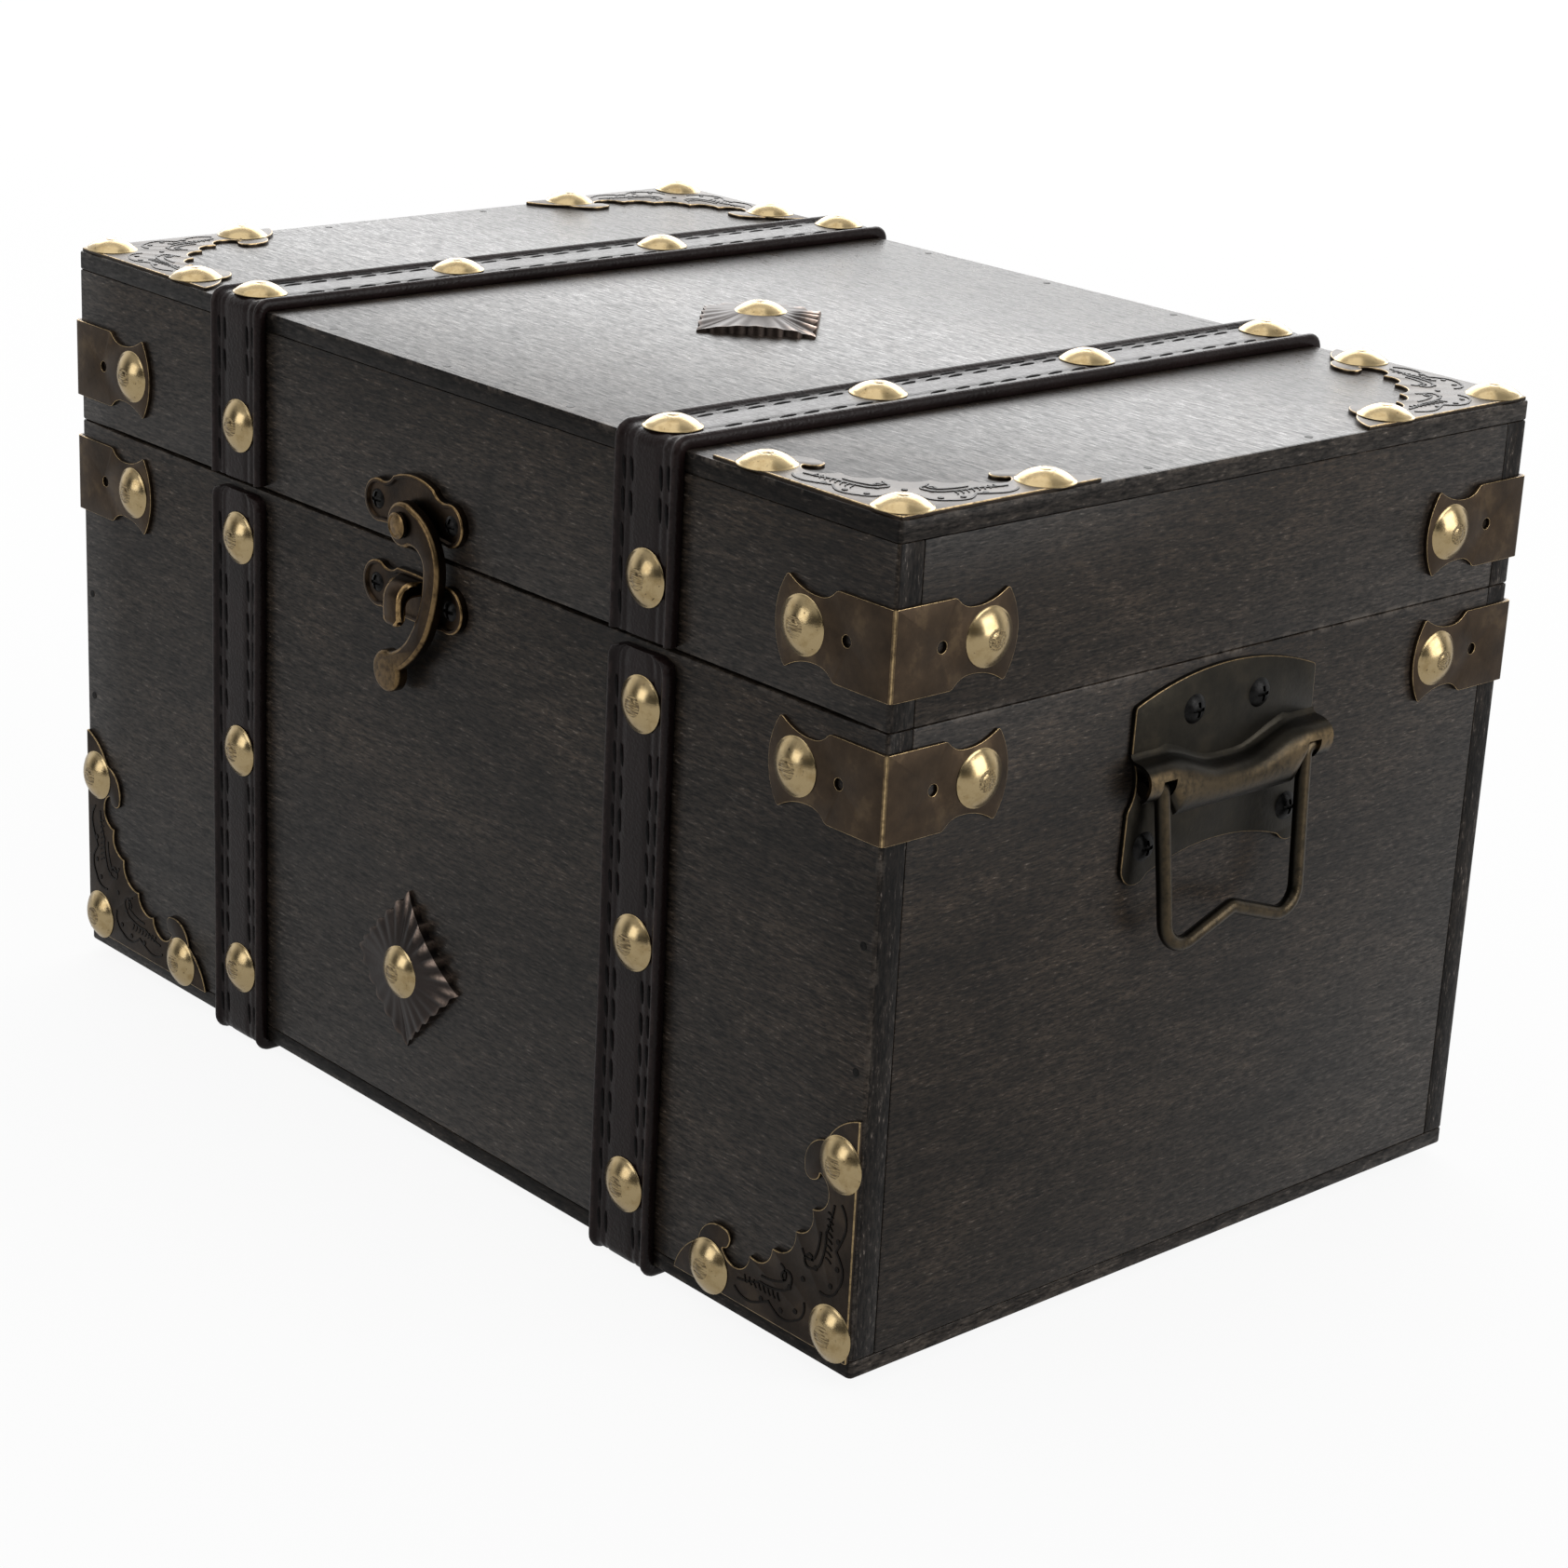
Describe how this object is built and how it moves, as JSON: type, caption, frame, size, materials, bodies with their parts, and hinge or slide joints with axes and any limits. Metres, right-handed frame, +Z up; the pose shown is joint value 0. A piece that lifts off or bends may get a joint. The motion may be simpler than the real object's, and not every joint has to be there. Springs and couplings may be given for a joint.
{
  "type": "treasure chest",
  "caption": "Small wooden chest with a flat hinged lid, leather straps, domed nails, bronze corner fittings, a swing-hook latch and drop handles on its ends.",
  "frame": {"origin": "on the floor under the middle of the case; the undersides of the two straps lie at Z = 0", "axes": "+X to the chest's right end seen from its front, -Y out of the front with the latch, +Z up"},
  "size_m": [0.277, 0.1821, 0.1685],
  "materials": {
    "stained_wood": "dark charcoal-brown stain, satin, worn along the edges",
    "strap_leather": "near-black brown, stitched along both edges",
    "nail_brass": "satin pale brass",
    "antique_bronze": "antiqued bronze, rubbed bright on edges",
    "black_screw": "black oxide",
    "brad_steel": "stained over"
  },
  "bodies": {
    "base": {"base_back_board": "stained_wood", "base_bottom_panel": "stained_wood", "base_bracket_back_left": "antique_bronze", "base_bracket_back_right": "antique_bronze", "base_bracket_front_left": "antique_bronze", "base_bracket_front_right": "antique_bronze", "base_bracket_studs": "nail_brass", "base_brads": "brad_steel", "base_front_board": "stained_wood", "base_left_board": "stained_wood", "base_plate_studs": "nail_brass", "base_right_board": "stained_wood", "base_strap_left": "strap_leather", "base_strap_right": "strap_leather", "base_strap_studs": "nail_brass", "corner_plate_bottom_left": "antique_bronze", "corner_plate_bottom_right": "antique_bronze", "diamond_boss_front": "antique_bronze", "handle_plate_left": "antique_bronze", "handle_plate_right": "antique_bronze", "handle_screws_left": "black_screw", "handle_screws_right": "black_screw", "hinge_leaf_lower_left": "antique_bronze", "hinge_leaf_lower_right": "antique_bronze", "hinge_lower_screws": "black_screw", "hinge_pin_left": "antique_bronze", "hinge_pin_right": "antique_bronze", "latch_catch": "antique_bronze", "latch_catch_screws": "black_screw"},
    "lid": {"corner_plate_top_back_left": "antique_bronze", "corner_plate_top_back_right": "antique_bronze", "corner_plate_top_front_left": "antique_bronze", "corner_plate_top_front_right": "antique_bronze", "diamond_boss_top": "antique_bronze", "hinge_leaf_upper_left": "antique_bronze", "hinge_leaf_upper_right": "antique_bronze", "hinge_upper_screws": "black_screw", "latch_pivot_rivet": "antique_bronze", "latch_plate": "antique_bronze", "latch_plate_screws": "black_screw", "lid_back_rail": "stained_wood", "lid_bracket_back_left": "antique_bronze", "lid_bracket_back_right": "antique_bronze", "lid_bracket_front_left": "antique_bronze", "lid_bracket_front_right": "antique_bronze", "lid_bracket_studs": "nail_brass", "lid_brads": "brad_steel", "lid_front_rail": "stained_wood", "lid_left_rail": "stained_wood", "lid_plate_studs": "nail_brass", "lid_right_rail": "stained_wood", "lid_strap_left": "strap_leather", "lid_strap_right": "strap_leather", "lid_strap_studs": "nail_brass", "lid_top_panel": "stained_wood"},
    "latch_hook": {"latch_arm": "antique_bronze"},
    "left_bail": {"handle_bail_left": "antique_bronze"},
    "right_bail": {"handle_bail_right": "antique_bronze"}
  },
  "joints": [
    {"name": "lid_hinge", "type": "hinge", "parent": "base", "child": "lid", "pos_m": [0, 0.0878, 0.1262], "axis": [-1, 0, 0], "range_deg": [0, 100]},
    {"name": "latch_swing", "type": "hinge", "parent": "lid", "child": "latch_hook", "pos_m": [-0.0044, -0.0885, 0.132], "axis": [0, -1, 0], "range_deg": [0, 100]},
    {"name": "right_bail_swing", "type": "hinge", "parent": "base", "child": "right_bail", "pos_m": [0.1342, 0.001, 0.1051], "axis": [0, -1, 0], "range_deg": [0, 95]},
    {"name": "left_bail_swing", "type": "hinge", "parent": "base", "child": "left_bail", "pos_m": [-0.1342, 0.001, 0.1051], "axis": [0, 1, 0], "range_deg": [0, 95]}
  ]
}
